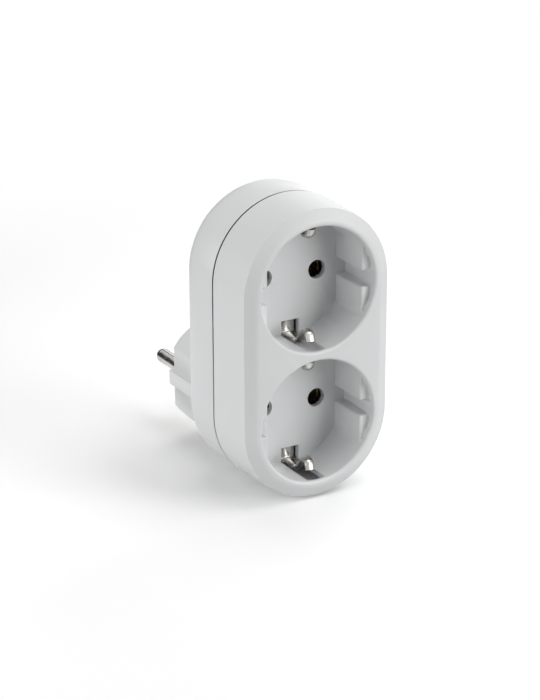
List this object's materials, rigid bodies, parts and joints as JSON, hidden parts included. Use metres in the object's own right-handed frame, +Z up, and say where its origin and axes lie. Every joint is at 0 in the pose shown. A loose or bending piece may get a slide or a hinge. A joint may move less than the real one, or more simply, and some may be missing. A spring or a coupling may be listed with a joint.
{
  "type": "multi socket adapter",
  "caption": "White plug-in adapter with an upright round-ended body, recessed round side-earthed sockets in front and a round pin plug on the back.",
  "frame": {"origin": "middle of the plug's end face, between its two pins", "axes": "+Y along the pins into the wall outlet, +Z up along the body, +X to the right as seen from the front"},
  "size_m": [0.0518, 0.0873, 0.0943],
  "materials": {
    "white_plastic": "satin, moulded",
    "nickel": "nickel plated, polished",
    "brass": "stamped strip",
    "screw_steel": "zinc plated"
  },
  "bodies": {
    "root": {"front_housing": "white_plastic", "rear_housing": "white_plastic", "left_pin": "nickel", "right_pin": "nickel", "upper_earth_clip": "nickel", "lower_earth_clip": "nickel", "plug_earth_contact": "nickel", "earth_bar": "brass", "left_bar": "brass", "right_bar": "brass", "upper_left_contact": "brass", "upper_right_contact": "brass", "lower_left_contact": "brass", "lower_right_contact": "brass", "contact_rivets": "brass", "earth_rivets": "brass", "housing_screws": "screw_steel"}
  },
  "joints": []
}
